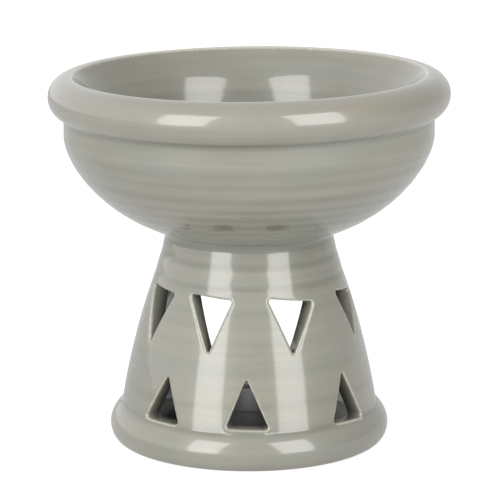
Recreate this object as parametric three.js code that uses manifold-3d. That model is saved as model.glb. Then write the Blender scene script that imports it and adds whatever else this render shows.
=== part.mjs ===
// A deep-bowl ceramic oil burner: a thrown bowl luted onto a hollow, pierced stand,
// with a tealight that lifts in and out through an arched door at the back.
// Millimetres, +Z up. The origin is the centre of the foot, on the table.
// The front faces -Y and the door faces +Y.

import * as THREE from 'three';
import { mergeVertices } from 'three/addons/utils/BufferGeometryUtils.js';
import Module from 'manifold-3d';

const wasm = await Module();
wasm.setup();

// Stand: the foot
const footRadius = 44;
const footWidestHeight = 4.9;
const footUndercut = 3.6;
const footShoulderHeight = 3.5;
const footHeight = 12.3;
const footRingWidth = 7;
const footRingBevel = 0.8;
const footRecessDepth = 1.4;

// Stand: the hollow cone above the foot
const coneBaseRadius = 40.3;
const coneBaseTaper = 0.182;
const coneBaseSweep = 34.1;
const neckRadius = 26.2;
const neckTaper = 0.181;
const neckSweep = 15;
const standHeight = 66.4;
const standWall = 5.5;
const standFloorTop = 6;
const standFloorFillet = 5;

// Luting slip between the stand and the bowl
const slipThickness = 0.6;
const slipInset = 0.4;

// Bowl
const bowlSeatRadius = 26.4;
const bowlBellyRadius = 57.7;
const bowlBellyRise = 30.5;
const bowlBellySweep = 7.2;
const bowlUnderSweep = 22.4;
const bowlUnderAngle = 17.2 * Math.PI / 180;
const bowlThroatWall = 12.7;
const bowlThroatDrop = 5.5;
const bowlThroatSweep = 9;
const bowlFloorWall = 6.5;
const bowlFloorRadius = 14;
const bowlFloorSweep = 24;

// Rolled rim of the bowl
const rimOverhang = 4.8;
const rimRollHalfWidth = 6.7;
const rimRollHalfHeight = 6.6;
const rimRollRise = 12.3;
const rimEdgeRounding = 1.5;
const rimInnerSlope = 37 * Math.PI / 180;
const rimInnerSweep = 9;

// Triangular windows: an upper row pointing down and a lower row pointing up
const upperWindowWidth = 15;
const upperWindowHeight = 16.6;
const upperWindowTop = 51.1;
const upperWindowAngles = [-104, -63, -23, 25, 74, 114];
const lowerWindowWidth = 13.9;
const lowerWindowHeight = 14.9;
const lowerWindowSill = 12.6;
const lowerWindowAngles = [-95, -43, -1, 50.5, 97];

// Arched door at the back
const doorWidth = 44;
const doorSill = 12.6;
const doorHeight = 40.6;

// Tealight
const cupRadius = 19;
const cupBaseRadius = 18.2;
const cupHeight = 15.5;
const cupWall = 0.4;
const cupRimBead = 0.5;
const waxDepth = 12.6;
const waxClearance = 0.3;
const sustainerRadius = 6;
const sustainerThickness = 0.4;
const sustainerNeckRadius = 1.7;
const sustainerNeckHeight = 3.5;
const wickRadius = 0.75;
const wickAboveWax = 6;
const wickClearance = 0.3;

// Fineness of the round surfaces
const ceramicSegments = 64;
const tealightSegments = 48;
const wickSegments = 16;
const curveSteps = 8;
const cutMargin = 10;

const bowlSeatHeight = standHeight + slipThickness;
const bowlBellyHeight = bowlSeatHeight + bowlBellyRise;
const bowlThroatHeight = bowlBellyHeight - bowlThroatDrop;
const bowlFloorHeight = bowlSeatHeight + bowlFloorWall;

const glaze = { color: 0xa3a296, roughness: 0.12, metalness: 0 };
const aluminium = { color: 0xc9cacc, roughness: 0.3, metalness: 1 };
const tinplate = { color: 0xb4b4b2, roughness: 0.35, metalness: 1 };
const wax = { color: 0xf3f0e6, roughness: 0.45, metalness: 0 };
const cotton = { color: 0xeeeae0, roughness: 0.95, metalness: 0 };

const at = (radius, height) => new THREE.Vector2(radius, height);

// Points along a curve without its first one, so that curves can follow each other
function along(curve, steps = curveSteps) {
  return curve.getPoints(steps).slice(1);
}

// Points of an elliptical arc in the profile plane, first and last included
function arc(centre, halfWidth, halfHeight, startAngle, endAngle, steps = curveSteps) {
  const curve = new THREE.EllipseCurve(
    centre.x, centre.y, halfWidth, halfHeight, startAngle, endAngle, endAngle < startAngle);
  return curve.getPoints(steps);
}

// A profile of radius and height turned about the upright axis
function turned(profile, segments) {
  const geometry = new THREE.LatheGeometry(profile, segments);
  geometry.rotateX(Math.PI / 2);
  return geometry;
}

// A ring-shaped profile is closed on itself before it is turned
function turnedRing(profile, segments) {
  return turned([...profile, profile[0].clone()], segments);
}

function named(name, geometry, finish) {
  const mesh = new THREE.Mesh(geometry, new THREE.MeshStandardMaterial(finish));
  mesh.name = name;
  return mesh;
}

// A closed geometry as a solid that can be cut
function solidOf(geometry) {
  const bare = geometry.clone();
  bare.deleteAttribute('normal');
  bare.deleteAttribute('uv');
  const merged = mergeVertices(bare);
  const corners = merged.index.array;
  const triangles = [];
  for (let i = 0; i < corners.length; i += 3) {
    const [a, b, c] = [corners[i], corners[i + 1], corners[i + 2]];
    if (a !== b && b !== c && c !== a) {
      triangles.push(a, b, c);
    }
  }
  return new wasm.Manifold(new wasm.Mesh({
    numProp: 3,
    vertProperties: new Float32Array(merged.attributes.position.array),
    triVerts: new Uint32Array(triangles),
  }));
}

function geometryOf(solid) {
  const mesh = solid.getMesh();
  const geometry = new THREE.BufferGeometry();
  geometry.setAttribute('position', new THREE.BufferAttribute(mesh.vertProperties, 3));
  geometry.setIndex(new THREE.BufferAttribute(mesh.triVerts, 1));
  geometry.computeVertexNormals();
  return geometry;
}

// The cone's outer line, from the top of the foot up to the neck
function coneLine(inset) {
  return new THREE.CubicBezierCurve(
    at(coneBaseRadius - inset, footHeight),
    at(coneBaseRadius - inset - coneBaseTaper * coneBaseSweep, footHeight + coneBaseSweep),
    at(neckRadius - inset + neckTaper * neckSweep, standHeight - neckSweep),
    at(neckRadius - inset, standHeight));
}

function standProfile() {
  const contactRadius = footRadius - footUndercut;
  const ringInner = contactRadius - footRingWidth;
  const footEdge = arc(
    at(contactRadius, footWidestHeight), footUndercut, footWidestHeight, -Math.PI / 2, 0);
  const footShoulder = new THREE.QuadraticBezierCurve(
    at(footRadius, footWidestHeight),
    at(footRadius, footWidestHeight + footShoulderHeight),
    at(coneBaseRadius, footHeight));
  const innerRadius = coneBaseRadius - standWall;
  const floorFillet = arc(
    at(innerRadius - standFloorFillet, standFloorTop + standFloorFillet),
    standFloorFillet, standFloorFillet, 0, -Math.PI / 2, curveSteps / 2);
  return [
    at(0, footRecessDepth),
    at(ringInner - footRingBevel, footRecessDepth),
    at(ringInner, 0),
    ...footEdge,
    ...along(footShoulder),
    ...along(coneLine(0)),
    ...coneLine(standWall).getPoints(curveSteps).reverse(),
    ...floorFillet,
    at(0, standFloorTop),
  ];
}

// An outline in width and height, pushed out from the axis towards one side of the stand
function radialCutter(outline, angleDegrees) {
  const geometry = new THREE.ExtrudeGeometry(outline, {
    depth: footRadius + cutMargin, bevelEnabled: false, steps: 1, curveSegments: curveSteps * 2 });
  geometry.rotateX(Math.PI / 2);
  geometry.rotateZ(angleDegrees * Math.PI / 180);
  return solidOf(geometry);
}

function windowOutline(width, baseHeight, apexHeight) {
  return new THREE.Shape([
    at(-width / 2, baseHeight), at(width / 2, baseHeight), at(0, apexHeight)]);
}

function doorOutline() {
  const halfWidth = doorWidth / 2;
  const spring = doorSill + doorHeight - halfWidth;
  const outline = new THREE.Shape();
  outline.moveTo(-halfWidth, doorSill);
  outline.lineTo(halfWidth, doorSill);
  outline.lineTo(halfWidth, spring);
  outline.absarc(0, spring, halfWidth, 0, Math.PI, false);
  outline.closePath();
  return outline;
}

function stand() {
  const upper = windowOutline(upperWindowWidth, upperWindowTop, upperWindowTop - upperWindowHeight);
  const lower = windowOutline(lowerWindowWidth, lowerWindowSill, lowerWindowSill + lowerWindowHeight);
  const cutters = [
    ...upperWindowAngles.map((angle) => radialCutter(upper, angle)),
    ...lowerWindowAngles.map((angle) => radialCutter(lower, angle)),
    radialCutter(doorOutline(), 180),
  ];
  const body = cutters.reduce(
    (solid, cutter) => solid.subtract(cutter), solidOf(turned(standProfile(), ceramicSegments)));
  return named('stand', geometryOf(body), glaze);
}

// A thin ring of slip, just inside the outer faces of the pieces that it joins
function slipJoint() {
  const inner = neckRadius - standWall + slipInset;
  const outer = neckRadius - slipInset;
  const profile = [
    at(inner, standHeight), at(outer, standHeight),
    at(outer, bowlSeatHeight), at(inner, bowlSeatHeight)];
  return named('slip_joint', turnedRing(profile, ceramicSegments), glaze);
}

// The rim is a round roll outside and a crisp edge inside, above a wall that slopes in to a throat
function bowl() {
  const rollCentre = at(bowlBellyRadius + rimOverhang - rimRollHalfWidth, bowlBellyHeight + rimRollRise);
  const creaseAngle = -Math.acos((bowlBellyRadius - rollCentre.x) / rimRollHalfWidth);
  const edgeCentre = at(rollCentre.x, rollCentre.y + rimRollHalfHeight - rimEdgeRounding);
  const throatRadius = bowlBellyRadius - bowlThroatWall;
  const under = new THREE.CubicBezierCurve(
    at(bowlSeatRadius, bowlSeatHeight),
    at(bowlSeatRadius + bowlUnderSweep * Math.cos(bowlUnderAngle),
      bowlSeatHeight + bowlUnderSweep * Math.sin(bowlUnderAngle)),
    at(bowlBellyRadius, bowlBellyHeight - bowlBellySweep),
    at(bowlBellyRadius, bowlBellyHeight));
  const roll = arc(
    rollCentre, rimRollHalfWidth, rimRollHalfHeight, creaseAngle, Math.PI / 2, curveSteps * 3 / 2);
  const edge = arc(
    edgeCentre, rimEdgeRounding, rimEdgeRounding, Math.PI / 2, Math.PI - rimInnerSlope, curveSteps / 2);
  const edgeEnd = edge[edge.length - 1];
  const slope = new THREE.CubicBezierCurve(
    edgeEnd,
    at(edgeEnd.x - rimInnerSweep * Math.sin(rimInnerSlope),
      edgeEnd.y - rimInnerSweep * Math.cos(rimInnerSlope)),
    at(throatRadius, bowlThroatHeight + bowlThroatSweep),
    at(throatRadius, bowlThroatHeight));
  const dish = new THREE.CubicBezierCurve(
    at(throatRadius, bowlThroatHeight),
    at(throatRadius, bowlThroatHeight - bowlThroatSweep),
    at(bowlFloorRadius + bowlFloorSweep, bowlFloorHeight),
    at(bowlFloorRadius, bowlFloorHeight));
  const profile = [
    at(0, bowlSeatHeight),
    ...under.getPoints(curveSteps),
    ...roll,
    ...edge.slice(1),
    ...along(slope),
    ...along(dish),
    at(0, bowlFloorHeight),
  ];
  return named('bowl', turned(profile, ceramicSegments), glaze);
}

// Pressed foil cup with a small rolled bead at its rim
function tealightCup() {
  const inner = cupRadius - cupRimBead;
  const beadCentre = at(inner, cupHeight - cupRimBead);
  const profile = [
    at(0, 0),
    at(cupBaseRadius, 0),
    at(inner, cupHeight - 2 * cupRimBead),
    ...arc(beadCentre, cupRimBead, cupRimBead, -Math.PI / 4, Math.PI / 2, curveSteps / 2),
    at(inner - cupWall, cupHeight),
    at(inner - cupWall, cupHeight - 2 * cupRimBead),
    at(cupBaseRadius - cupWall, cupWall),
    at(0, cupWall),
  ];
  return named('tealight_cup', turned(profile, tealightSegments), aluminium);
}

// Wax cast in the cup around the wick, with the sustainer buried in its underside
function tealightWax() {
  const cupInnerTop = cupRadius - cupRimBead - cupWall;
  const cupInnerBase = cupBaseRadius - cupWall;
  const flare = (cupInnerTop - cupInnerBase) / (cupHeight - 2 * cupRimBead - cupWall);
  const discRecess = sustainerRadius + waxClearance;
  const neckRecess = sustainerNeckRadius + waxClearance;
  const wickBore = wickRadius + wickClearance;
  const discTop = cupWall + sustainerThickness + waxClearance;
  const neckTop = cupWall + sustainerNeckHeight + waxClearance;
  const waxTop = cupWall + waxDepth;
  const profile = [
    at(discRecess, cupWall),
    at(cupInnerBase - waxClearance, cupWall),
    at(cupInnerBase - waxClearance + flare * waxDepth, waxTop),
    at(wickBore, waxTop),
    at(wickBore, neckTop),
    at(neckRecess, neckTop),
    at(neckRecess, discTop),
    at(discRecess, discTop),
  ];
  return named('tealight_wax', turnedRing(profile, tealightSegments), wax);
}

// Tinplate disc with a short neck that holds the wick upright on the cup's floor
function wickSustainer() {
  const bore = wickRadius + wickClearance;
  const profile = [
    at(bore, cupWall),
    at(sustainerRadius, cupWall),
    at(sustainerRadius, cupWall + sustainerThickness),
    at(sustainerNeckRadius, cupWall + sustainerThickness),
    at(sustainerNeckRadius, cupWall + sustainerNeckHeight),
    at(bore, cupWall + sustainerNeckHeight),
  ];
  return named('wick_sustainer', turnedRing(profile, tealightSegments), tinplate);
}

function tealightWick() {
  const top = cupWall + waxDepth + wickAboveWax;
  const profile = [at(0, cupWall), at(wickRadius, cupWall), at(wickRadius, top), at(0, top)];
  return named('tealight_wick', turned(profile, wickSegments), cotton);
}

const tealight = new THREE.Group();
tealight.position.z = standFloorTop;
tealight.add(tealightCup(), tealightWax(), wickSustainer(), tealightWick());

const burner = new THREE.Group();
burner.add(stand(), slipJoint(), bowl(), tealight);

export default burner;
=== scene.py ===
# %% [markdown]
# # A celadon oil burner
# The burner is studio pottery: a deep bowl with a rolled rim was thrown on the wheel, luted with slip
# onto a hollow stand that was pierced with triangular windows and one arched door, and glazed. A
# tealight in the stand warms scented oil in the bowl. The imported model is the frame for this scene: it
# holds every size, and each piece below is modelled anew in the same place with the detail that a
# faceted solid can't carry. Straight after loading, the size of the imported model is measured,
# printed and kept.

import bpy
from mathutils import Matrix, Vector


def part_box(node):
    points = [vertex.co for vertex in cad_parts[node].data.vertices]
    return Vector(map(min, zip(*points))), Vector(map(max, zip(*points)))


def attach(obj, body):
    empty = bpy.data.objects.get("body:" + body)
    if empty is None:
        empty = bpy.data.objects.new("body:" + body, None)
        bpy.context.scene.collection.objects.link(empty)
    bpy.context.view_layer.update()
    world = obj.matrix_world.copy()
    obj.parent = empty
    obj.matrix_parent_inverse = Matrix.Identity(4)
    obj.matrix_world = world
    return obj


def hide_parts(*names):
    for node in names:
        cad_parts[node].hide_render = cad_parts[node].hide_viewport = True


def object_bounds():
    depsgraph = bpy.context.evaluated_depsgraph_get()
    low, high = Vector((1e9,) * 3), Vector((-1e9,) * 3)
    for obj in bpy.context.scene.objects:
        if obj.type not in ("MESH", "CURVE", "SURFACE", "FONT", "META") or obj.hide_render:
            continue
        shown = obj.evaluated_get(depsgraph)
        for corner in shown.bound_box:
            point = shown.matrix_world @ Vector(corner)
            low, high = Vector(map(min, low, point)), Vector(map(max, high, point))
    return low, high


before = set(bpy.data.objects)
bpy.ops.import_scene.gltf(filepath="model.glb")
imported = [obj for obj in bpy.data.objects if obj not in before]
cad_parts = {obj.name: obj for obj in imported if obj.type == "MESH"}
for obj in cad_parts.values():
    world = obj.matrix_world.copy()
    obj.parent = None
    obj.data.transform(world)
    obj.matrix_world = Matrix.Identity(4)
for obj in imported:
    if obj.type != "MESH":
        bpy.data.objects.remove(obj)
cad_low, cad_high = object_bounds()
print("frame size in mm:", [round(1000 * side, 2) for side in cad_high - cad_low])

# %% The modelling tools
import math
from bisect import bisect_left
from collections import namedtuple

import bmesh
import bpy
from mathutils import Vector, noise
from mathutils.geometry import interpolate_bezier

MM = 0.001
scene = bpy.context.scene

# %% [markdown]
# ## The camera
# The picture was taken with a long lens from a little above the rim, so the bowl's mouth is a narrow
# ellipse. The viewpoint was worked out from the ellipses of the rim and the foot: the camera looks
# twelve and a half degrees down from 850 mm in front. A long lens is a large focal length on the same
# sensor, and no lens shift is needed because the burner stands in the middle.

# %% Camera
camera_distance = 849.5 * MM
camera_height = 248.53 * MM
camera_sideways = 0.25 * MM
camera_pitch = math.radians(12.511)
sensor_width = 36
focal_length = 199.3

camera_data = bpy.data.cameras.new("camera")
camera_data.sensor_width = sensor_width
camera_data.lens = focal_length
camera = bpy.data.objects.new("camera", camera_data)
camera.location = (camera_sideways, -camera_distance, camera_height)
camera.rotation_euler = (math.pi / 2 - camera_pitch, 0, 0)
scene.collection.objects.link(camera)
scene.camera = camera
scene.view_settings.view_transform = "Standard"
print("camera at", [round(c, 4) for c in camera.location])

# %% [markdown]
# ## Studio light
# Gloss is drawn by what it reflects. Two tall softboxes stand to the left and right of the camera, the
# right one a little wider: they give the pair of upright light bars on the stand, the slanted bars on
# the rim, and the two patches inside the bowl. Their cloth is bright in the middle and falls off to the
# sides. The world is a pale surround. It is white where the camera sees it, and grey in reflections and
# as a lamp, as the walls of a studio would be, so that the glaze isn't washed out. It is brighter to
# the left, as if from a window, because the left side of the bowl is paler in the picture than the
# right.

# %% Shader node helpers
def feed(tree, node, values):
    """Set the node's input sockets, or link those whose value is another node's output."""
    for socket, value in values.items():
        if isinstance(value, bpy.types.NodeSocket):
            tree.links.new(value, node.inputs[socket])
        else:
            node.inputs[socket].default_value = value


def make(tree, kind, values=None, **settings):
    """Add a shader node of a kind such as Math, apply its settings, and feed its sockets."""
    node = tree.nodes.new("ShaderNode" + kind)
    for name, value in settings.items():
        setattr(node, name, value)
    feed(tree, node, values or {})
    return node


def reckon(tree, operation, *values):
    """A math node on the values, such as ADD or MAXIMUM."""
    return make(tree, "Math", dict(enumerate(values)), operation=operation).outputs[0]


def scaled(tree, value, factor, offset=0.0):
    """value times factor plus offset."""
    return reckon(tree, "MULTIPLY_ADD", value, factor, offset)


def either(tree, factor, first, second):
    """The first number where factor is 0, and the second where it is 1."""
    return make(tree, "Mix", {"Factor": factor, "A": first, "B": second}).outputs["Result"]


def ray_is(tree, *kinds):
    """1 for rays of one of the kinds, and 0 for all others."""
    path = make(tree, "LightPath").outputs
    found = path[f"Is {kinds[0]} Ray"]
    for kind in kinds[1:]:
        found = reckon(tree, "MAXIMUM", found, path[f"Is {kind} Ray"])
    return found

# %% World
surround_lamp = 0.58
surround_mirrored = 0.76
surround_seen = 1.0
surround_lean = -0.48
world = bpy.data.worlds.new("pale_surround")
world.use_nodes = True
tree = world.node_tree
tree.nodes.clear()
direction = make(tree, "TexCoord").outputs["Generated"]
sideways = make(tree, "SeparateXYZ", {"Vector": direction}).outputs["X"]
grey = either(tree, ray_is(tree, "Glossy"), surround_lamp, surround_mirrored)
leaning = reckon(tree, "MULTIPLY", grey, scaled(tree, sideways, surround_lean, 1.0))
strength = either(tree, ray_is(tree, "Camera", "Transmission"), leaning, surround_seen)
surround = make(tree, "Background", {"Color": (1, 1, 1, 1), "Strength": strength})
make(tree, "OutputWorld", {"Surface": surround.outputs[0]})
scene.world = world
print("world ready, as a lamp", surround_lamp, "and in reflections", surround_mirrored)

# %% Softboxes
softbox_distance = 1.0
softbox_height = 0.93
softbox_elevation = math.radians(23.5)
softbox_radiance = 3.3
softbox_sides = {"left": (-37.0, 0.54), "right": (39.0, 0.57)}
cloth_edge = 0.1
cloth_edge_level = 0.12
lit_point = Vector((0, 0, cad_high.z * 0.6))


def softbox(name, azimuth, width):
    """A rectangular lamp that faces the burner; its azimuth is counted from the front, to the right."""
    data = bpy.data.lights.new(name, "AREA")
    data.shape = "RECTANGLE"
    data.size = width
    data.size_y = softbox_height
    data.energy = softbox_radiance * math.pi * width * softbox_height
    lamp = bpy.data.objects.new(name, data)
    along = math.cos(softbox_elevation)
    away = Vector((math.sin(azimuth) * along, -math.cos(azimuth) * along, math.sin(softbox_elevation)))
    lamp.location = lit_point + away * softbox_distance
    lamp.rotation_euler = away.to_track_quat("Z", "Y").to_euler()
    lamp.visible_camera = False
    scene.collection.objects.link(lamp)
    data.use_nodes = True
    tree = data.node_tree
    place = make(tree, "NewGeometry").outputs["Parametric"]
    across = make(tree, "SeparateXYZ", {"Vector": place}).outputs["X"]
    from_side = reckon(tree, "MINIMUM", across, reckon(tree, "SUBTRACT", 1.0, across))
    values = {"Value": from_side, "From Max": cloth_edge, "To Min": cloth_edge_level}
    falloff = make(tree, "MapRange", values, interpolation_type="SMOOTHSTEP")
    feed(tree, tree.nodes["Emission"], {"Strength": falloff.outputs[0]})
    return lamp


for side, (degrees, width) in softbox_sides.items():
    lamp = softbox(f"softbox_{side}", math.radians(degrees), width)
    print(lamp.name, "at", [round(c, 3) for c in lamp.location])

# %% [markdown]
# ## The table
# The burner stands on a plain pale sheet. A diffuse plane alone would render light grey, so for the
# camera and for reflections part of its light is an even glow, weaker in reflections as the surround
# is: the sheet reads as white and still keeps the soft shadow round the foot. Seen from below it is
# clear, so that the foot ring can be looked at.

# %% Floor
floor_size = 6.0
paper_white = (0.84, 0.84, 0.84, 1)
paper_shaded = (0.4, 0.4, 0.4, 1)
glow_seen = 0.84
glow_mirrored = 0.30
bm = bmesh.new()
bmesh.ops.create_grid(bm, x_segments=1, y_segments=1, size=floor_size / 2)
floor_mesh = bpy.data.meshes.new("floor")
bm.to_mesh(floor_mesh)
bm.free()
floor = bpy.data.objects.new("floor", floor_mesh)
scene.collection.objects.link(floor)

paper = bpy.data.materials.new("white_paper")
paper.use_nodes = True
tree = paper.node_tree
tree.nodes.clear()
plain = make(tree, "BsdfDiffuse", {"Color": paper_white})
shaded = make(tree, "BsdfDiffuse", {"Color": paper_shaded})
glow_level = either(tree, ray_is(tree, "Glossy"), glow_seen, glow_mirrored)
glow = make(tree, "Emission", {"Color": (1, 1, 1, 1), "Strength": glow_level})
bright = make(tree, "AddShader", {0: shaded.outputs[0], 1: glow.outputs[0]})
looked_at = ray_is(tree, "Camera", "Glossy", "Transmission")
above = make(tree, "MixShader", {0: looked_at, 1: plain.outputs[0], 2: bright.outputs[0]})
below = make(tree, "BsdfTransparent")
facing = make(tree, "NewGeometry").outputs["Backfacing"]
sheet = make(tree, "MixShader", {0: facing, 1: above.outputs[0], 2: below.outputs[0]})
make(tree, "OutputMaterial", {"Surface": sheet.outputs[0]})
floor_mesh.materials.append(paper)
print("floor ready,", floor_size, "m square")

# %% [markdown]
# ## Celadon glaze
# The glaze is a glassy grey-green coat over pale stoneware. Where it runs thin, along cut edges and
# the lip, the clay warms it to cream. Where it pools, in grooves and creases, it is deeper, and the
# creases and the slip joint are darkened further with painted shade. On the roll of the rim the warm
# clay shines through in tan streaks. Inside the stand the glaze is darkened to near black with
# painted shade. Four vertex attributes, `thin_glaze`, `pooled_glaze_and_shade`, `warm_glaze` and
# `painted_inner_shade`, carry that from the shapes. Noise adds cooler and warmer patches, and the fine
# streaks that a brush leaves round the pot. The gloss is a clear coat with a high index, over a slightly
# softer base.

# %% Material helpers
def new_material(name):
    """A material, its node tree, its shader, and the place on the piece, which patterns read."""
    material = bpy.data.materials.new(name)
    material.use_nodes = True
    tree = material.node_tree
    return material, tree, tree.nodes["Principled BSDF"], make(tree, "TexCoord").outputs["Object"]


def colour_ramp(tree, fac, stops):
    """A colour ramp through the given stops of position and colour."""
    ramp = make(tree, "ValToRGB", {"Fac": fac})
    elements = ramp.color_ramp.elements
    while len(elements) < len(stops):
        elements.new(0.5)
    for element, (position, colour) in zip(elements, stops):
        element.position = position
        element.color = colour
    return ramp.outputs["Color"]


def grain(tree, place, scale, detail=2.0, roughness=0.5):
    """Noise about 0.5; a scale of three numbers stretches it along the axes."""
    if isinstance(scale, tuple):
        place = make(tree, "Mapping", {"Vector": place, "Scale": scale}).outputs[0]
        scale = 1.0
    return make(tree, "TexNoise", {
        "Vector": place, "Scale": scale, "Detail": detail, "Roughness": roughness}).outputs["Fac"]


def cells(tree, place, scale, output="Distance"):
    return make(tree, "TexVoronoi", {"Vector": place, "Scale": scale}).outputs[output]


def attribute(tree, name):
    return make(tree, "Attribute", attribute_name=name).outputs["Fac"]


def blend(tree, first, second, share):
    """The first number by its share, plus the second by the rest."""
    return reckon(tree, "ADD", scaled(tree, first, share), scaled(tree, second, 1 - share))


def ranged(tree, value, low, high, to_low=0.0, to_high=1.0):
    """The range from low to high brought to the one from to_low to to_high, and held there."""
    return make(tree, "MapRange", {
        "Value": value, "From Min": low, "From Max": high, "To Min": to_low, "To Max": to_high}).outputs[0]


def mixed(tree, factor, first, second):
    """The first colour where factor is 0, and the second where it is 1."""
    return make(tree, "Mix", {
        "Factor": factor, "A": first, "B": second}, data_type="RGBA").outputs["Result"]


def bumped(tree, height, distance, strength=1.0):
    return make(tree, "Bump", {
        "Height": height, "Distance": distance, "Strength": strength}).outputs["Normal"]


# %% Glaze colours and material
glaze_body = (0.274, 0.270, 0.218, 1)
glaze_pale = (0.325, 0.318, 0.268, 1)
glaze_deep = (0.170, 0.170, 0.136, 1)
glaze_thin = (0.590, 0.555, 0.465, 1)
glaze_warm = (0.320, 0.280, 0.222, 1)
glaze_cool = (0.250, 0.262, 0.238, 1)
# painted shade: a near-black colour for the dim inside of the stand
inner_shade_colour = (0.075, 0.074, 0.062, 1)


def celadon_glaze():
    material, tree, shader, place = new_material("streaked_celadon")
    streaks = grain(tree, place, (10, 10, 420), 5.0, 0.62)
    patches = grain(tree, place, 42.0, 3.0)
    depth = reckon(tree, "ADD", scaled(tree, streaks, 0.46, 0.27), scaled(tree, patches, 0.35, -0.175))
    # deeper glaze where it pools in grooves; in the creases and the slip joint this is also painted shade
    depth = reckon(tree, "ADD", depth, scaled(tree, attribute(tree, "pooled_glaze_and_shade"), 0.36))
    cover = colour_ramp(tree, depth, [(0.28, glaze_pale), (0.52, glaze_body), (0.92, glaze_deep)])
    coolness = ranged(tree, grain(tree, place, (22, 22, 70), 3.0), 0.46, 0.66, 0.0, 0.5)
    cover = mixed(tree, coolness, cover, glaze_cool)

    clouds = ranged(tree, grain(tree, place, 24.0), 0.52, 0.75, 0.0, 0.35)
    brushed = ranged(tree, grain(tree, place, (16, 16, 230), 3.0), 0.54, 0.72, 0.0, 0.45)
    tan = reckon(tree, "MULTIPLY", attribute(tree, "warm_glaze"), scaled(tree, streaks, 2.0, -0.72))
    warmth = reckon(tree, "MAXIMUM", reckon(tree, "MAXIMUM", clouds, brushed), tan)
    cover = mixed(tree, warmth, cover, glaze_warm)
    # painted shade: the inside of the stand is mixed towards near black
    cover = mixed(tree, attribute(tree, "painted_inner_shade"), cover, inner_shade_colour)

    ragged = scaled(tree, grain(tree, place, 900.0), 0.5, -0.25)
    edge = ranged(tree, reckon(tree, "ADD", attribute(tree, "thin_glaze"), ragged), 0.25, 0.85)
    waves = bumped(tree, grain(tree, place, 150.0, 1.5), 0.03 * MM)
    feed(tree, shader, {
        "Base Color": mixed(tree, edge, cover, glaze_thin),
        "Roughness": scaled(tree, grain(tree, place, 60.0), 0.10, 0.20),
        "Normal": waves,
        "Coat Normal": waves,
        "IOR": 1.5,
        "Coat Weight": 1.0,
        "Coat Roughness": 0.035,
        "Coat IOR": 1.6,
    })
    return material


glaze = celadon_glaze()
print("glaze made with", len(glaze.node_tree.nodes), "nodes")

# %% [markdown]
# ## Bare clay under the foot
# A potter wipes the glaze off the foot ring, or the pot would stick to the kiln shelf. The ring shows
# the fired clay: matt, warm and sandy, with a few iron specks. It is a second material on the stand,
# because matt clay and glassy glaze share no gloss settings.

# %% Bare stoneware
clay_dark = (0.42, 0.34, 0.25, 1)
clay_pale = (0.62, 0.53, 0.42, 1)
iron_speck = (0.12, 0.07, 0.04, 1)


def bare_stoneware():
    material, tree, shader, place = new_material("bare_stoneware")
    sand = grain(tree, place, 1600.0, 4.0)
    tone = blend(tree, sand, grain(tree, place, 90.0, 3.0), 0.4)
    clay = colour_ramp(tree, tone, [(0.3, clay_dark), (0.7, clay_pale)])
    specks = ranged(tree, cells(tree, place, 700.0), 0.10, 0.16, 0.6, 0.0)
    feed(tree, shader, {
        "Base Color": mixed(tree, specks, clay, iron_speck),
        "Roughness": scaled(tree, sand, 0.2, 0.72),
        "Normal": bumped(tree, sand, 0.08 * MM, 0.8),
    })
    return material


stoneware = bare_stoneware()
print("clay made with", len(stoneware.node_tree.nodes), "nodes")

# %% [markdown]
# ## Turning a profile
# Everything here but the wick was made by turning, so one half outline in radius and height, spun
# about the upright axis, makes the whole shape. The outline is a chain of Bezier curves and arcs, cut
# into short steps so that wheel marks can be pressed into it. The spin closes on itself with
# `use_merge`, and the points on the axis are merged into poles before the normals are worked out.

# %% Profile and spin helpers
fine = 0.75 * MM
coarse = 1.5 * MM
small = 0.3 * MM
tiny = 0.1 * MM


def at(radius, height):
    return Vector((radius, 0, height))


def straight(start, end, pitch):
    """Points on a line, about pitch apart, without its first one."""
    count = max(1, round((end - start).length / pitch))
    return [start.lerp(end, step / count) for step in range(1, count + 1)]


def arc(centre, half_width, half_height, start, end, pitch):
    """Points on an elliptical arc between two angles in degrees, first and last included."""
    sweep = math.radians(end - start)
    count = max(2, round(abs(sweep) * (half_width + half_height) / 2 / pitch))
    angles = [math.radians(start) + sweep * step / count for step in range(count + 1)]
    return [centre + at(half_width * math.cos(a), half_height * math.sin(a)) for a in angles]


class Outline(list):
    """Points in radius and height, drawn on from the last one and about pitch apart."""

    def line(self, end, pitch):
        self.extend(straight(self[-1], end, pitch))

    def curve(self, leaving, arriving, end, pitch):
        """A Bezier curve, with each handle counted from its own end of the curve."""
        start = self[-1]
        count = max(2, round((end - start).length / pitch))
        self.extend(interpolate_bezier(start, start + leaving, end + arriving, end, count + 1)[1:])


def turned(profile, steps, closed=False):
    """A bmesh spun from a profile that ends on the axis, or from a closed one."""
    bm = bmesh.new()
    verts = [bm.verts.new(point) for point in profile]
    ends = verts[1:] + verts[:1] if closed else verts[1:]
    edges = [bm.edges.new(pair) for pair in zip(verts, ends)]
    bmesh.ops.spin(bm, geom=verts + edges, cent=(0, 0, 0), axis=(0, 0, 1), dvec=(0, 0, 0),
                   angle=2 * math.pi, steps=steps, use_merge=True)
    bmesh.ops.remove_doubles(bm, verts=bm.verts[:], dist=0.001 * MM)
    bmesh.ops.recalc_face_normals(bm, faces=bm.faces[:])
    return bm


def finished_piece(name, bm, materials, body, node):
    """A mesh object from a bmesh, smooth all over, riding on its body in place of its node."""
    open_edges = sum(1 for edge in bm.edges if not edge.is_manifold)
    if bm.calc_volume(signed=True) < 0:
        bmesh.ops.reverse_faces(bm, faces=bm.faces[:])
    for face in bm.faces:
        face.smooth = True
    mesh = bpy.data.meshes.new(name)
    bm.to_mesh(mesh)
    bm.free()
    for material in materials:
        mesh.materials.append(material)
    piece = bpy.data.objects.new(name, mesh)
    scene.collection.objects.link(piece)
    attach(piece, body)
    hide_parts(node)
    mesh.calc_loop_triangles()
    print(name, "has", len(mesh.loop_triangles), "triangles and", open_edges, "open edges")

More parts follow.
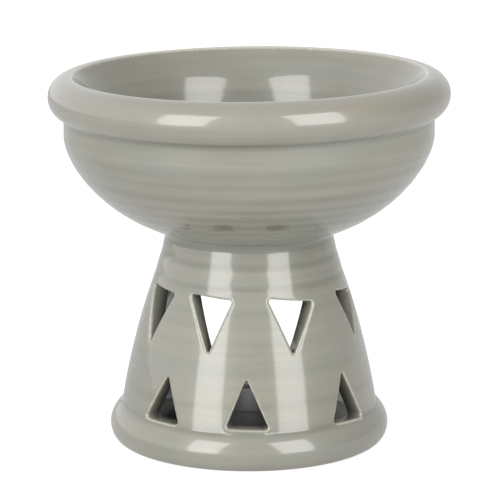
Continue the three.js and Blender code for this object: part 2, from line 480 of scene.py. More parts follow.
# %% [markdown]
# ## Wheel marks
# The potter's finger leaves shallow rings as the clay turns, a few millimetres apart, stronger on one
# side than the other. They could be bump in the material, but the light bars on the glaze bend over
# them, so they are pressed into the mesh. A ring is a height, a depth and a half width in millimetres,
# and the side where it is strongest, in degrees. The glaze pools in every groove.

# %% Wheel mark helpers
steady_share = 0.62


def clamped(value):
    """The value, held between 0 and 1."""
    return max(0.0, min(1.0, value))


def fading(distance, reach):
    """1 at no distance, and next to nothing at twice the reach."""
    return math.exp(-(distance / reach) ** 2)


def front_angle(point):
    """The angle from the front, positive to the right, in radians."""
    return math.atan2(point.x, -point.y)


def outwards(point):
    """The level direction from the axis to a point."""
    return Vector((point.x, point.y, 0)).normalized()


def ring_depth(rings, height, angle):
    """How far the rings press in at a height, negative for a groove and positive for a ridge."""
    depth = 0.0
    for ring_height, amount, half_width, strong_side in rings:
        share = steady_share + (1 - steady_share) * math.cos(angle - math.radians(strong_side))
        depth += amount * share * fading(height / MM - ring_height, half_width)
    return depth * MM


def hand_wobble(point, reach, amount):
    """Slow unevenness, about reach long, of what is turned or poured by hand."""
    return amount * noise.noise(point / reach)


# %% [markdown]
# ## The bowl
# The bowl is thrown thick, with a foot no wider than the stand's neck, and its edge is folded outwards
# into a fat roll. Glaze pools in the crease under the roll, and the crease is darkened further with
# painted shade. The inside is one smooth sweep. The rim sits a touch higher on the right in the
# picture, so a slight shear that grows with height leans it.

# %% Bowl outline
bowl_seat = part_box("bowl")[0].z
bowl_seat_radius = 26.4 * MM
belly_radius = 57.7 * MM
belly_height = bowl_seat + 30.5 * MM
under_reach = 22.4 * MM
under_angle = math.radians(17.2)
belly_reach = 7.2 * MM
roll_half_width = 6.7 * MM
roll_half_height = 6.6 * MM
roll_overhang = 4.8 * MM
roll_rise = 12.3 * MM
crease_softness = 1.5 * MM
crease_turn = 18
lip_rounding = 1.5 * MM
lip_slope = math.radians(37)
lip_reach = 9 * MM
throat_radius = belly_radius - 12.7 * MM
throat_height = belly_height - 5.5 * MM
throat_reach = 9 * MM
well_radius = 14 * MM
well_reach = 24 * MM
well_height = bowl_seat + 6.5 * MM


def bowl_profile():
    roll_centre = at(belly_radius + roll_overhang - roll_half_width, belly_height + roll_rise)
    crease_angle = -math.degrees(math.acos((belly_radius - roll_centre.x) / roll_half_width))
    roll = arc(roll_centre, roll_half_width, roll_half_height, crease_angle + crease_turn, 90, fine)
    crease = at(belly_radius, roll_centre.z + roll_half_height * math.sin(math.radians(crease_angle)))
    lip_centre = at(roll_centre.x, roll_centre.z + roll_half_height - lip_rounding)
    lip = arc(lip_centre, lip_rounding, lip_rounding, 90, 180 - math.degrees(lip_slope), fine / 3)
    under = at(under_reach * math.cos(under_angle), under_reach * math.sin(under_angle))
    down_slope = at(-lip_reach * math.sin(lip_slope), -lip_reach * math.cos(lip_slope))
    outline = Outline([at(0, bowl_seat)])
    outline.line(at(bowl_seat_radius, bowl_seat), 2 * coarse)
    outline.curve(under, at(0, -belly_reach), at(belly_radius, belly_height), fine)
    outline.line(at(belly_radius, crease.z - crease_softness), fine)
    outline.curve(at(0, crease_softness), crease - roll[0], roll[0], fine / 3)
    outline.extend(roll[1:] + lip[1:])
    outline.curve(down_slope, at(0, throat_reach), at(throat_radius, throat_height), fine)
    outline.curve(at(0, -throat_reach), at(well_reach, 0), at(well_radius, well_height), coarse)
    outline.line(at(0, well_height), coarse)
    return outline


bowl_rings = [
    (98.6, -0.03, 0.9, 60), (94.4, -0.03, 1.0, -40), (90.5, -0.07, 1.0, 70),
    (85.8, -0.08, 1.1, 40), (82.0, -0.10, 1.0, 30), (79.0, -0.10, 0.9, -30),
    (76.4, -0.09, 0.8, 20), (73.3, -0.10, 0.8, -20), (70.3, -0.10, 0.8, 0),
]
roll_rings = [
    (112.3, -0.02, 0.6, 60), (108.3, -0.04, 0.5, 0), (106.2, -0.03, 0.5, 90),
]
inner_rings = [
    (112.5, -0.02, 0.8, 160), (108.0, 0.02, 1.0, 200), (102.5, -0.03, 0.9, 150),
    (96.0, -0.04, 1.0, 190), (89.0, -0.05, 1.0, 120), (83.5, -0.06, 0.9, 60),
]
print("bowl outline has", len(bowl_profile()), "points")

# %% Bowl mesh
bowl_steps = 256
rim_lean = 0.011
lean_start = 70 * MM
crease_height = belly_height + 5.9 * MM
crease_spread = 1.6 * MM
crease_gap = 1.5 * MM
# crease darkening under the roll: pooled glaze and painted shade
crease_pooling_and_shade = 0.7
inside_pooling = 0.15
bowl_groove = 0.12 * MM
crest_radius = belly_radius + roll_overhang - roll_half_width
crest_height = belly_height + roll_rise + roll_half_height
lip_spread = 0.9 * MM
lip_thinness = 0.85
warm_rise = 5 * MM
bowl_wobble = (35 * MM, 0.06 * MM)


def press_bowl(bm):
    """Press the wheel marks into the bowl, note where the glaze pools and thins, and paint shade into the
    crease under the roll.
    """
    thin = bm.verts.layers.float.new("thin_glaze")
    pooled_and_shaded = bm.verts.layers.float.new("pooled_glaze_and_shade")
    warm = bm.verts.layers.float.new("warm_glaze")
    bm.normal_update()
    outward = {vert: vert.normal.copy() for vert in bm.verts}
    for vert, normal in outward.items():
        radius = math.hypot(vert.co.x, vert.co.y)
        inside = normal.z > 0 and radius < crest_radius
        if radius < bowl_seat_radius:
            continue
        under_roll = vert.co.z < crease_height
        rings = inner_rings if inside else bowl_rings if under_roll else roll_rings
        depth = ring_depth(rings, vert.co.z, front_angle(vert.co))
        from_lip = math.hypot(radius - crest_radius + lip_rounding / 2, vert.co.z - crest_height)
        filled = max(0, -depth / bowl_groove)
        if inside:
            filled += inside_pooling
        # the crease under the roll is darkened: pooled glaze and painted shade
        elif radius <= belly_radius + crease_gap:
            filled += crease_pooling_and_shade * fading(vert.co.z - crease_height, crease_spread)
        vert[pooled_and_shaded] = clamped(filled)
        vert[thin] = lip_thinness * fading(from_lip, lip_spread)
        vert[warm] = 0 if inside else clamped((vert.co.z - crease_height) / warm_rise)
        vert.co += normal * (depth + hand_wobble(vert.co, *bowl_wobble))
    for vert in outward:
        rise = clamped((vert.co.z - lean_start) / (cad_high.z - lean_start))
        vert.co.z += vert.co.x * rim_lean * rise


bm = turned(bowl_profile(), bowl_steps)
press_bowl(bm)
finished_piece("glazed_bowl", bm, [glaze], "burner", "bowl")

# %% [markdown]
# ## The pierced stand
# The stand is a thrown cone on a rounded foot. Its windows and door were cut with a knife when the
# clay was leather-hard, so each is slightly different, its sides run straight through the wall, and
# its edges are softened by a wet finger and by the glaze. A Boolean cut would leave crisp edges and
# slivers, so the cut is made by hand here: faces of the turned shell are taken away round an opening,
# a sleeve with the opening's true outline is extruded through the wall, the gap between is filled, and
# the two rims of the sleeve are bevelled.

# %% Stand outline
foot_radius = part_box("stand")[1].x
stand_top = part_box("stand")[1].z
foot_widest = 4.9 * MM
foot_undercut = 3.6 * MM
foot_shoulder = 3.5 * MM
foot_height = 11.7 * MM
foot_crease = 0.45 * MM
foot_ring_width = 7 * MM
foot_ring_blend = 1.6 * MM
foot_recess = 1.4 * MM
cone_radius = 40.4 * MM
cone_taper = 0.182
cone_sweep = 34.7 * MM
neck_radius = 26.2 * MM
neck_taper = 0.181
neck_sweep = 15 * MM
stand_wall = 5.5 * MM
floor_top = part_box("tealight_cup")[0].z
floor_fillet = 5 * MM
flat_pitch = 2.5 * MM
inner_pitch = 1.1 * MM


def cone_line(inset, pitch):
    """The cone's line from the foot up to the neck, moved inwards by inset."""
    line = Outline([at(cone_radius - inset, foot_height)])
    line.curve(at(-cone_taper * cone_sweep, cone_sweep), at(neck_taper * neck_sweep, -neck_sweep),
               at(neck_radius - inset, stand_top), pitch)
    return line


def stand_profiles():
    """The underside, the outer line going up, and the inner line going up from the floor."""
    contact = foot_radius - foot_undercut
    ring_inner = contact - foot_ring_width
    underside = Outline([at(0, foot_recess)])
    underside.line(at(ring_inner - foot_ring_blend, foot_recess), flat_pitch)
    underside.curve(at(0.9 * MM, 0), at(-foot_ring_blend / 2, 0),
                    at(ring_inner + foot_ring_blend / 4, 0), small)
    underside.line(at(contact, 0), coarse)

    outer = Outline(arc(at(contact, foot_widest), foot_undercut, foot_widest, -90, 0, fine))
    corner = at(cone_radius, foot_height)
    swell = outer[-1] + at(0, foot_shoulder)
    shoulder_end = corner.lerp(swell, foot_crease / (swell - corner).length)
    outer.curve((swell - outer[-1]) * 2 / 3, (swell - shoulder_end) * 2 / 3, shoulder_end, fine)
    wall = [point for point in cone_line(0, fine) if point.z > foot_height + foot_crease]
    outer.curve(corner - shoulder_end, corner - wall[0], wall[0], fine / 4)
    outer.extend(wall[1:])

    centre = at(cone_radius - stand_wall - floor_fillet, floor_top + floor_fillet)
    inner = straight(at(0, floor_top), at(centre.x, floor_top), flat_pitch)
    inner += arc(centre, floor_fillet, floor_fillet, -90, 0, coarse)[1:]
    inner += cone_line(stand_wall, inner_pitch)
    return underside, outer, inner


underside, outer_line, inner_line = stand_profiles()
print("stand outline has", len(underside) + len(outer_line) + len(inner_line), "points")

# %% Openings as outlines on the wall
guard_width = 1.4 * MM
clear_width = 1.9 * MM
outline_pitch = 0.8 * MM


def flat_point(width, height):
    return Vector((width, height))


def radius_at(line, height):
    """The radius of an upward line of a profile at a height."""
    place = bisect_left(line, height, key=lambda point: point.z)
    if place == 0 or place == len(line):
        return line[min(place, len(line) - 1)].x
    low, high = line[place - 1], line[place]
    return low.x + (high.x - low.x) * (height - low.z) / (high.z - low.z)


def rounded_outline(corners, radii, grow=0.0):
    """A convex outline, counter-clockwise in width and height, rounded and then moved out by grow."""
    points = []
    count = len(corners)
    for index, (corner, radius) in enumerate(zip(corners, radii)):
        arriving = (corner - corners[index - 1]).normalized()
        leaving = (corners[(index + 1) % count] - corner).normalized()
        first = flat_point(arriving.y, -arriving.x)
        last = flat_point(leaving.y, -leaving.x)
        centre = corner - (first + last) * radius / (1 + first.dot(last))
        turn = first.angle(last)
        steps = max(4, round(turn * radius / outline_pitch))
        start = math.atan2(first.y, first.x)
        angles = [start + turn * step / steps for step in range(steps + 1)]
        rounding = [centre + flat_point(math.cos(a), math.sin(a)) * (radius + grow) for a in angles]
        if points:
            points += side_points(points[-1], rounding[0], (corner - corners[index - 1]).length)
        points += rounding
    points += side_points(points[-1], points[0], (corners[0] - corners[-1]).length)
    return points


def side_points(start, end, length):
    """Points between the ends of a side, as many for every growth of the same outline."""
    count = max(2, round(length / outline_pitch))
    return [start.lerp(end, step / count) for step in range(1, count)]


def outside_by(outline, point):
    """How far a point lies outside a convex outline, negative inside it."""
    farthest = -1.0
    for start, end in zip(outline, outline[1:] + outline[:1]):
        along = end - start
        length = along.length
        if length > 1e-7:
            farthest = max(farthest, ((point - start).x * along.y - (point - start).y * along.x) / length)
    return farthest


Opening = namedtuple("Opening", "angle across out radial corners radii outline low high")


def opening(angle, corners, radii, radial):
    """An opening at an angle, with its outline in width and height; radial sides aim at the axis."""
    across = Vector((math.cos(angle), math.sin(angle), 0))
    out = Vector((math.sin(angle), -math.cos(angle), 0))
    outline = rounded_outline(corners, radii)
    low = Vector([min(column) for column in zip(*outline)])
    high = Vector([max(column) for column in zip(*outline)])
    return Opening(angle, across, out, radial, corners, radii, outline, low, high)


def on_wall(cut, point, line_radius):
    """A point of width and height placed on the wall, in an opening."""
    forward = math.sqrt(max(0.0, line_radius ** 2 - point.x ** 2))
    return cut.across * point.x + cut.out * forward + Vector((0, 0, point.y))


def beside(cut, point):
    """A point of the shell in the width and height of an opening's outline."""
    width = point.dot(cut.across)
    if cut.radial:
        width *= radius_at(outer_line, point.z) / math.hypot(point.x, point.y)
    return flat_point(width, point.z)


def near(cut, point, margin):
    """True on the opening's side of the shell, within a margin of the outline's box."""
    if not cut.low.y - margin < point.z < cut.high.y + margin or point.dot(cut.out) < 0:
        return False
    return cut.low.x - margin < point.dot(cut.across) < cut.high.x + margin


# %% Window and door corners
window_corner = 0.8 * MM
window_apex = 0.45 * MM
upper_guess = (13.8, 50.9, 50.3, 34.5)
lower_guess = (9.9, 12.5, 12.4, 27.1)
door_half_width = 22 * MM
door_sill = 12.6 * MM
door_rise = 40.6 * MM
door_corner = 2 * MM
arch_share = 0.999


def window(left, right, tip):
    """A window from three corners on the wall, each an angle in degrees and a height in millimetres."""
    centre = (left[0] + right[0] + 2 * tip[0]) / 4
    flat = []
    for degrees, height in (left, right, tip):
        radius = radius_at(outer_line, height * MM)
        flat.append(flat_point(radius * math.sin(math.radians(degrees - centre)), height * MM))
    radii = [window_corner, window_corner, window_apex]
    if (flat[1] - flat[0]).cross(flat[2] - flat[0]) < 0:
        flat = [flat[1], flat[0], flat[2]]
    return opening(math.radians(centre), flat, radii, True)


def guessed_window(centre, half_span, left, right, tip):
    """A window that the picture doesn't show, with its tip in the middle."""
    return window((centre - half_span, left), (centre + half_span, right), (centre, tip))


def door():
    """The arched door, whose two upper corners are rounded until they nearly meet."""
    arch = door_half_width * arch_share
    crown = door_sill + door_rise
    left, right = -door_half_width, door_half_width
    corners = [flat_point(*corner) for corner in (
        (left, door_sill), (right, door_sill), (right, crown), (left, crown))]
    return opening(math.pi, corners, [door_corner, door_corner, arch, arch], False)


openings = [
    guessed_window(-104, *upper_guess),
    window((-77.3, 51.2), (-48.9, 50.7), (-61.1, 34.6)),
    window((-36.7, 51.7), (-9.6, 50.7), (-21.2, 34.6)),
    window((10.6, 51.2), (39.5, 49.2), (22.9, 34.3)),
    window((60.5, 50.3), (88.7, 48.2), (70.8, 34.1)),
    guessed_window(114, *upper_guess),
    guessed_window(-95, *lower_guess),
    window((-52.9, 12.5), (-33.0, 12.4), (-42.2, 26.6)),
    window((-10.4, 13.0), (8.9, 12.6), (-1.4, 28.0)),
    window((40.5, 12.1), (60.6, 11.4), (50.4, 26.8)),
    guessed_window(97, *lower_guess),
    door(),
]
print(len(openings), "openings, at", [round(math.degrees(cut.angle)) for cut in openings])

# %% Cutting one opening
sleeve_depths = (0.0, 0.24, 0.41, 0.59, 0.76, 1.0)
mid_wall = stand_wall / 2
search_margin = 4 * MM


def touches(cut, face):
    """True if a face of the wall comes within the clear band round an opening."""
    for vert in face.verts:
        flat = beside(cut, vert.co)
        wall = math.hypot(vert.co.x, vert.co.y)
        if wall > radius_at(inner_line, flat.y) - mid_wall and outside_by(cut.outline, flat) < clear_width:
            return True
    return False


def station(cut, points, depth):
    """An outline placed at a depth into the wall, 0 outside and 1 inside."""
    placed = []
    for point in points:
        outer_radius = radius_at(outer_line, point.y)
        inner_radius = radius_at(inner_line, point.y)
        outer = on_wall(cut, point, outer_radius)
        shrink = inner_radius / outer_radius
        inner = (Vector((outer.x * shrink, outer.y * shrink, outer.z)) if cut.radial
                 else on_wall(cut, point, inner_radius))
        placed.append(outer.lerp(inner, depth))
    return placed


def cut_opening(bm, cut, faces):
    """Open the wall, line the opening with a sleeve, and give back the edges of the sleeve's two rims."""
    order = bm.verts.layers.int["outline_order"]
    guard = rounded_outline(cut.corners, cut.radii, guard_width)
    bmesh.ops.delete(bm, geom=[face for face in faces if touches(cut, face)], context="FACES")
    ragged = [edge for edge in bm.edges if edge.is_boundary]

    ring = [bm.verts.new(place) for place in station(cut, guard, 0.0)]
    for index, vert in enumerate(ring):
        vert[order] = index
    loops = [[bm.edges.new(pair) for pair in zip(ring, ring[1:] + ring[:1])]]
    stations = [station(cut, cut.outline, depth) for depth in sleeve_depths] + [station(cut, guard, 1.0)]
    for targets in stations:
        made = bmesh.ops.extrude_edge_only(bm, edges=loops[-1])["geom"]
        fresh = {item for item in made if isinstance(item, bmesh.types.BMVert)}
        for vert in fresh:
            vert.co = targets[vert[order]]
        loops.append([item for item in made
                      if isinstance(item, bmesh.types.BMEdge) and all(v in fresh for v in item.verts)])

    outer_gap = []
    inner_gap = []
    for edge in ragged:
        middle = (edge.verts[0].co + edge.verts[1].co) / 2
        split = (radius_at(outer_line, middle.z) + radius_at(inner_line, middle.z)) / 2
        (outer_gap if math.hypot(middle.x, middle.y) > split else inner_gap).append(edge)
    for gap in (outer_gap + loops[0], inner_gap + loops[-1]):
        filled = bmesh.ops.triangle_fill(bm, edges=gap, use_beauty=True, normal=cut.out)["geom"]
        patch = [item for item in filled if isinstance(item, bmesh.types.BMFace)]
        seams = {edge for face in patch for edge in face.edges} - set(gap)
        bmesh.ops.beautify_fill(bm, faces=patch, edges=list(seams), method="ANGLE")
    return loops[1] + loops[-2]


# %% Stand mesh
stand_steps = 300
rim_softness = 0.9 * MM
rim_segments = 5
thin_reach = 0.55 * MM
# painted shade inside the stand, growing inwards from just under the outer skin
inner_shade_start = 0.9 * MM
inner_shade_depth = 3.4 * MM
outer_skin = 0.3 * MM
# crease darkening above the foot: pooled glaze and painted shade
foot_crease_spread = 1.0 * MM
foot_pooling_and_shade = 0.8
neck_groove = 0.1 * MM
stand_wobble = (30 * MM, 0.05 * MM)
bare_ring_height = 0.35 * MM
bare_ring_reach = 12 * MM
neck_rings = [
    (63.2, 0.04, 1.6, 0), (60.4, -0.09, 1.5, -30), (57.0, 0.07, 1.8, -20),
    (54.2, -0.09, 1.3, 20), (47.0, -0.02, 1.2, 0), (31.0, -0.03, 1.6, 0),
    (19.5, -0.03, 1.4, 40),
]


def press_stand(bm):
    """Press the wheel marks into the outside of the stand, note where the glaze thins and pools, and paint
    shade into the crease above the foot and into the inside.
    """
    thin = bm.verts.layers.float.new("thin_glaze")
    pooled_and_shaded = bm.verts.layers.float.new("pooled_glaze_and_shade")
    shaded_inside = bm.verts.layers.float.new("painted_inner_shade")
    bm.normal_update()
    outward = {vert: vert.normal.copy() for vert in bm.verts}
    for vert, normal in outward.items():
        radius = math.hypot(vert.co.x, vert.co.y)
        outer_depth = radius_at(outer_line, vert.co.z) - radius
        inner_depth = radius - radius_at(inner_line, vert.co.z)
        # painted shade: the inside of the stand darkens from the outer skin inwards
        if vert.co.z > foot_recess + mid_wall:
            vert[shaded_inside] = clamped((outer_depth - inner_shade_start) / inner_shade_depth)
        from_faces = max(0.0, min(outer_depth, inner_depth))
        for cut in openings:
            if near(cut, vert.co, 3 * thin_reach):
                beyond = max(0.0, outside_by(cut.outline, beside(cut, vert.co)))
                distance = math.hypot(beyond, from_faces)
                vert[thin] = max(vert[thin], fading(distance, thin_reach))
        if abs(outer_depth) < outer_skin and vert.co.z > foot_widest:
            depth = ring_depth(neck_rings, vert.co.z, front_angle(vert.co))
            # grooves darken with pooled glaze; the crease above the foot adds painted shade
            crease = fading(vert.co.z - foot_height, foot_crease_spread)
            vert[pooled_and_shaded] = clamped(max(0, -depth / neck_groove) + foot_pooling_and_shade * crease)
            vert.co += normal * (depth + hand_wobble(vert.co, *stand_wobble))


bm = turned(underside + outer_line[1:] + inner_line[::-1] + [at(0, floor_top)], stand_steps)
bm.verts.layers.int.new("outline_order")
groups = [[] for _ in openings]
for face in bm.faces:
    middle = face.calc_center_median()
    for group, cut in zip(groups, openings):
        if near(cut, middle, search_margin):
            group.append(face)
rims = []
for group, cut in zip(groups, openings):
    rims += cut_opening(bm, cut, [face for face in group if face.is_valid])
bmesh.ops.bevel(bm, geom=rims, offset=rim_softness, offset_type="OFFSET", affect="EDGES",
                segments=rim_segments, profile=0.5, material=-1, clamp_overlap=True)
bmesh.ops.recalc_face_normals(bm, faces=bm.faces[:])
press_stand(bm)
for face in bm.faces:
    middle = face.calc_center_median()
    if middle.z < bare_ring_height and math.hypot(middle.x, middle.y) > foot_radius - bare_ring_reach:
        face.material_index = 1
finished_piece("glazed_stand", bm, [glaze, stoneware], "burner", "stand")

# %% [markdown]
# ## The slip joint
# The bowl was stuck to the stand with a ring of wet slip, wiped almost flush outside and left as a
# rounded bead inside. Outside it fills the corner under the bowl with a small hollow curve, where the
# light bars of the stand end. Glaze ran into it, and the whole fillet is darkened, partly for that
# pooled glaze and partly as painted shade in the joint between the pieces. It is a closed ring,
# turned like the rest, that laps both pieces.

# %% Slip joint
cove = 1.8 * MM
cove_reach = 0.7 * cove
cove_pitch = 0.15 * MM
skim = 0.03 * MM
bury = 0.25 * MM
bead_swell = 1.4 * MM


def slip_profile():
    neck_inner = neck_radius - stand_wall
    top = bowl_seat + bury
    bottom = stand_top - cove
    slant = math.tan(under_angle)
    low_end = at(radius_at(outer_line, bottom) + skim, bottom)
    high_end = at(neck_radius + cove, bowl_seat + (neck_radius + cove - bowl_seat_radius) * slant + skim)
    ring = Outline([low_end - at(bury, 0), low_end])
    ring.curve(at(-cove_reach * neck_taper, cove_reach), at(-cove_reach, -cove_reach * slant),
               high_end, cove_pitch)
    ring.append(at(neck_radius - bury, top + 2 * bury))
    ring.line(at(neck_inner, top), coarse)
    ring.curve(at(-bead_swell, 0), at(small - bead_swell, 2 * tiny), at(neck_inner, bottom), small)
    return ring


bm = turned(slip_profile(), bowl_steps, closed=True)
# the whole fillet is darkened: pooled glaze and painted shade in the joint
pooled_and_shaded = bm.verts.layers.float.new("pooled_glaze_and_shade")
for vert in bm.verts:
    vert[pooled_and_shaded] = 1
finished_piece("slip_fillet", bm, [glaze], "burner", "slip_joint")

# %% [markdown]
# ## The tealight's cup
# A tealight's cup is drawn from thin aluminium: a flat base on a low ring, a wall that widens in two
# faint stages, and an edge curled into a bead. It is one closed skin, turned like the pots. The metal
# is soft, so its wall keeps shallow wrinkles from drawing, which are pressed into the mesh, and fine
# upright scuffs, which are bump.

# %% Aluminium foil
foil_dull = (0.86, 0.85, 0.90, 1)
foil_bright = (0.94, 0.93, 0.97, 1)


def candle_foil():
    material, tree, shader, place = new_material("drawn_foil")
    cloud = grain(tree, place, 140.0, 3.0)
    scuffs = grain(tree, place, (2600, 2600, 160), 3.0)
    tone = blend(tree, cloud, scuffs, 0.6)
    dents = reckon(tree, "ADD", cloud, scaled(tree, scuffs, 0.25))
    feed(tree, shader, {
        "Base Color": colour_ramp(tree, tone, [(0.3, foil_dull), (0.7, foil_bright)]),
        "Roughness": scaled(tree, tone, 0.20, 0.45),
        "Metallic": 1.0,
        "Normal": bumped(tree, dents, 0.08 * MM, 0.6),
    })
    return material


foil = candle_foil()
print("foil made with", len(foil.node_tree.nodes), "nodes")

# %% Cup mesh
cup_low, cup_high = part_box("tealight_cup")
cup_base = cup_low.z
cup_top = cup_high.z
cup_radius = cup_high.x
cup_base_radius = 18.2 * MM
base_ring_inner = 14.5 * MM
base_ring_outer = 15.8 * MM
base_lift = 0.35 * MM
cup_corner = 1.2 * MM
stage_share = 0.36
stage_step = at(0.12 * MM, 0.8 * MM)
bead_radius = 0.5 * MM
foil_gauge = 0.3 * MM
wall_pitch = 0.5 * MM
wrinkle_count = 44
wrinkle_depth = 0.03 * MM
wrinkle_patches = 9 * MM
wrinkled_share = 0.9
cup_steps = 264


def cup_profile():
    side_foot = at(cup_base_radius, cup_base + cup_corner)
    side_top = at(cup_radius - bead_radius, cup_top - 2 * bead_radius)
    bead_centre = side_top + at(0, bead_radius)
    inward = at(-foil_gauge, 0)
    skin = Outline([at(0, cup_base + base_lift)])
    skin.line(at(base_ring_inner, cup_base + base_lift), 2 * MM)
    skin.curve(at(0.7 * MM, 0), at(-0.8 * MM, 0), at(base_ring_outer, cup_base), small)
    skin.curve(at(cup_base_radius - small - base_ring_outer, 0), at(0, -0.9 * MM), side_foot, small)
    skin.line(side_foot.lerp(side_top, stage_share), wall_pitch)
    skin.curve(at(0, 0.4 * MM), at(0, -0.5 * MM), skin[-1] + stage_step, 2 * tiny)
    skin.line(side_top, wall_pitch)
    skin.extend(arc(bead_centre, bead_radius, bead_radius, -60, 180, 0.12 * MM))
    skin.append(at(side_top.x - bead_radius, side_top.z + small))
    skin.extend(straight(side_top + inward, side_foot + inward, 0.7 * MM))
    floor_end = at(cup_base_radius - cup_corner, cup_base + 1.3 * foil_gauge)
    skin.curve(at(0, -0.8 * MM), at(0.6 * MM, 0), floor_end, small)
    skin.line(at(0, floor_end.z), 2 * MM)
    return skin


bm = turned(cup_profile(), cup_steps)
for vert in bm.verts:
    radius = math.hypot(vert.co.x, vert.co.y)
    up_wall = (vert.co.z - cup_base) / (cup_top - cup_base)
    if radius > cup_base_radius - 2 * foil_gauge and up_wall < wrinkled_share:
        fold = math.cos(wrinkle_count * front_angle(vert.co)) * (0.5 + noise.noise(vert.co / wrinkle_patches))
        press = wrinkle_depth * fold * math.sin(math.pi * up_wall / wrinkled_share)
        vert.co += outwards(vert.co) * min(0, press)
finished_piece("drawn_cup", bm, [foil], "tealight", "tealight_cup")

# %% [markdown]
# ## Wax, wick and sustainer
# The wax is cast hot and shrinks as it sets: it clings to the cup's wall and to the wick, and sinks a
# little between them. Its frosted bloom and the glow of light inside it are what tell it from plastic,
# so the material scatters light below the surface. The wick is three cotton strands, each a circle
# swept along a screw by the spin operator, and a tinplate sustainer crimped in three places grips it.

# %% Wax, tinplate and cotton
wax_shaded = (0.86, 0.84, 0.77, 1)
wax_white = (0.93, 0.92, 0.88, 1)
tin_dull = (0.50, 0.50, 0.49, 1)
tin_bright = (0.68, 0.68, 0.66, 1)
cotton_waxed = (0.62, 0.59, 0.51, 1)
cotton_pale = (0.90, 0.88, 0.82, 1)


def candle_wax():
    material, tree, shader, place = new_material("frosted_wax")
    tone = blend(tree, grain(tree, place, 420.0, 5.0), cells(tree, place, 900.0), 0.7)
    feed(tree, shader, {
        "Base Color": colour_ramp(tree, tone, [(0.3, wax_shaded), (0.7, wax_white)]),
        "Roughness": scaled(tree, tone, 0.3, 0.32),
        "Subsurface Weight": 0.5,
        "Subsurface Radius": (1.0, 0.85, 0.7),
        "Subsurface Scale": 3 * MM,
        "Normal": bumped(tree, tone, 0.06 * MM, 0.5),
    })
    return material


def tinplate():
    material, tree, shader, place = new_material("spangled_tin")
    spangle = make(tree, "RGBToBW", {"Color": cells(tree, place, 1300.0, "Color")}).outputs[0]
    feed(tree, shader, {
        "Base Color": colour_ramp(tree, spangle, [(0.2, tin_dull), (0.8, tin_bright)]),
        "Roughness": scaled(tree, spangle, 0.2, 0.28),
        "Metallic": 1.0,
    })
    return material


def cotton():
    material, tree, shader, place = new_material("waxed_cotton")
    fibres = grain(tree, place, (6000, 6000, 900), 4.0)
    feed(tree, shader, {
        "Base Color": colour_ramp(tree, fibres, [(0.3, cotton_waxed), (0.7, cotton_pale)]),
        "Roughness": scaled(tree, fibres, 0.2, 0.55),
        "Normal": bumped(tree, fibres, 0.05 * MM),
        "Sheen Weight": 0.3,
    })
    return material


wax, tin, thread = candle_wax(), tinplate(), cotton()
print("candle materials:", wax.name, tin.name, thread.name)

# %% Wax cake
wax_low, wax_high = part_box("tealight_wax")
wax_side = 0.1 * MM
wax_corner = 0.5 * MM
wax_bore = 0.82 * MM
wax_sink = 0.35 * MM
wax_cling = 0.45 * MM
wax_brim = 1.3 * MM
dip_radius = 9 * MM
collar_radius = 2.4 * MM
recess_radius = 6.4 * MM
recess_height = 0.9 * MM
neck_recess = 2.0 * MM
neck_top = wax_low.z + 3.9 * MM
wax_unevenness = (5 * MM, 0.10 * MM)
wax_steps = 144


def wax_profile():
    slope = (cup_radius - bead_radius - cup_base_radius) / (cup_top - cup_base - 2 * bead_radius)
    outer = cup_base_radius - foil_gauge - wax_side
    side_low = at(outer - wax_corner, wax_low.z + wax_corner)
    side_high = at(outer + slope * (wax_high.z - cup_base), wax_high.z + wax_cling)
    cake = Outline([at(recess_radius, side_low.z)])
    cake.line(side_low, coarse)
    cake.curve(at(0.4 * MM, 0), at(0, -0.7 * MM), at(outer, wax_low.z + 1.2 * MM), small)
    cake.line(side_high, coarse)
    cake.curve(at(-tiny, -0.4 * MM), at(0.5 * MM, 0), at(side_high.x - wax_brim, wax_high.z), 2 * tiny)
    cake.curve(at(-3 * MM, -tiny), at(3 * MM, 0), at(dip_radius, wax_high.z - wax_sink), 2 * small)
    cake.curve(at(-3 * MM, 0), at(1.2 * MM, -tiny), at(collar_radius, wax_high.z - tiny), 0.5 * MM)
    cake.curve(at(-0.8 * MM, tiny / 2), at(tiny, 2 * tiny - wax_cling),
               at(wax_bore, wax_high.z + wax_cling), 2 * tiny)
    cake.line(at(wax_bore, neck_top), coarse)
    cake.append(at(neck_recess, neck_top))
    cake.append(at(neck_recess, wax_low.z + recess_height))
    cake.append(at(recess_radius, wax_low.z + recess_height))
    return cake


bm = turned(wax_profile(), wax_steps, closed=True)
for vert in bm.verts:
    if vert.co.z > wax_high.z - 2 * wax_sink:
        vert.co.z += hand_wobble(vert.co, *wax_unevenness)
finished_piece("wax_cake", bm, [wax], "tealight", "tealight_wax")

# %% Sustainer
tin_low, tin_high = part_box("wick_sustainer")
disc_edge = 0.4 * MM
tube_radius = 1.7 * MM
tube_bore = 0.9 * MM
tube_flare = 0.4 * MM
tube_lip = 0.3 * MM
crimp_count = 3
crimp_depth = 0.25 * MM
crimp_height = tin_high.z - 1.2 * MM
crimp_reach = 0.7 * MM
tin_steps = 72


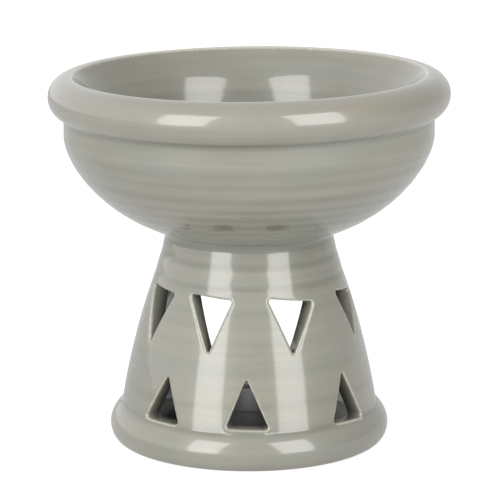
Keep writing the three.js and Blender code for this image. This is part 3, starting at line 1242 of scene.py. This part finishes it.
def sustainer_profile():
    disc_top = tin_low.z + disc_edge
    half = disc_edge / 2
    rim = arc(at(tin_high.x - half, tin_low.z + half), half, half, -90, 90, tiny)
    shape = Outline([at(tube_bore, tin_low.z)])
    shape.line(rim[0], coarse)
    shape.extend(rim[1:])
    shape.line(at(tube_radius + tube_flare, disc_top), coarse)
    shape.curve(at(-tube_lip, 0), at(0, -tube_lip), at(tube_radius, disc_top + tube_flare), tiny)
    shape.line(at(tube_radius, tin_high.z - 2 * tiny), small)
    shape.curve(at(0, 2 * tiny), at(2 * tiny, 0), at(tube_radius - tube_lip, tin_high.z), tiny)
    shape.line(at(tube_bore, tin_high.z), small)
    shape.line(at(tube_bore, tin_low.z), 2 * small)
    return shape[:-1]


bm = turned(sustainer_profile(), tin_steps, closed=True)
for vert in bm.verts:
    radius = math.hypot(vert.co.x, vert.co.y)
    if radius > (tube_radius + tube_bore) / 2 and vert.co.z > tin_low.z + 2 * disc_edge:
        squeeze = max(0.0, math.cos(crimp_count * front_angle(vert.co))) ** 3
        squeeze *= fading(vert.co.z - crimp_height, crimp_reach)
        vert.co -= outwards(vert.co) * crimp_depth * squeeze
finished_piece("crimped_sustainer", bm, [tin], "tealight", "wick_sustainer")

# %% Wick
wick_low, wick_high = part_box("tealight_wick")
strand_radius = 0.345 * MM
strand_offset = 0.402 * MM
strand_count = 3
strand_pitch = 4.2 * MM
strand_sides = 12
wick_length = wick_high.z - wick_low.z
turns = wick_length / strand_pitch
steps_a_turn = 28
steps = round(turns * steps_a_turn)
lean_above_wax = 0.5 * MM

bm = bmesh.new()
for strand in range(strand_count):
    angle = 2 * math.pi * strand / strand_count
    centre = Vector((strand_offset * math.cos(angle), strand_offset * math.sin(angle), wick_low.z))
    ring = bmesh.ops.create_circle(bm, cap_ends=False, segments=strand_sides, radius=strand_radius)["verts"]
    bmesh.ops.translate(bm, vec=centre, verts=ring)
    edges = list({edge for vert in ring for edge in vert.link_edges})
    bmesh.ops.spin(bm, geom=ring + edges, cent=(0, 0, 0), axis=(0, 0, 1), dvec=(0, 0, wick_length / steps),
                   angle=2 * math.pi * turns, steps=steps, use_merge=False)
bmesh.ops.holes_fill(bm, edges=[edge for edge in bm.edges if edge.is_boundary], sides=strand_sides)
bmesh.ops.recalc_face_normals(bm, faces=bm.faces[:])
for vert in bm.verts:
    above = max(0.0, vert.co.z - wax_high.z) / (wick_high.z - wax_high.z)
    vert.co.x += lean_above_wax * above ** 2
finished_piece("cotton_strands", bm, [thread], "tealight", "tealight_wick")
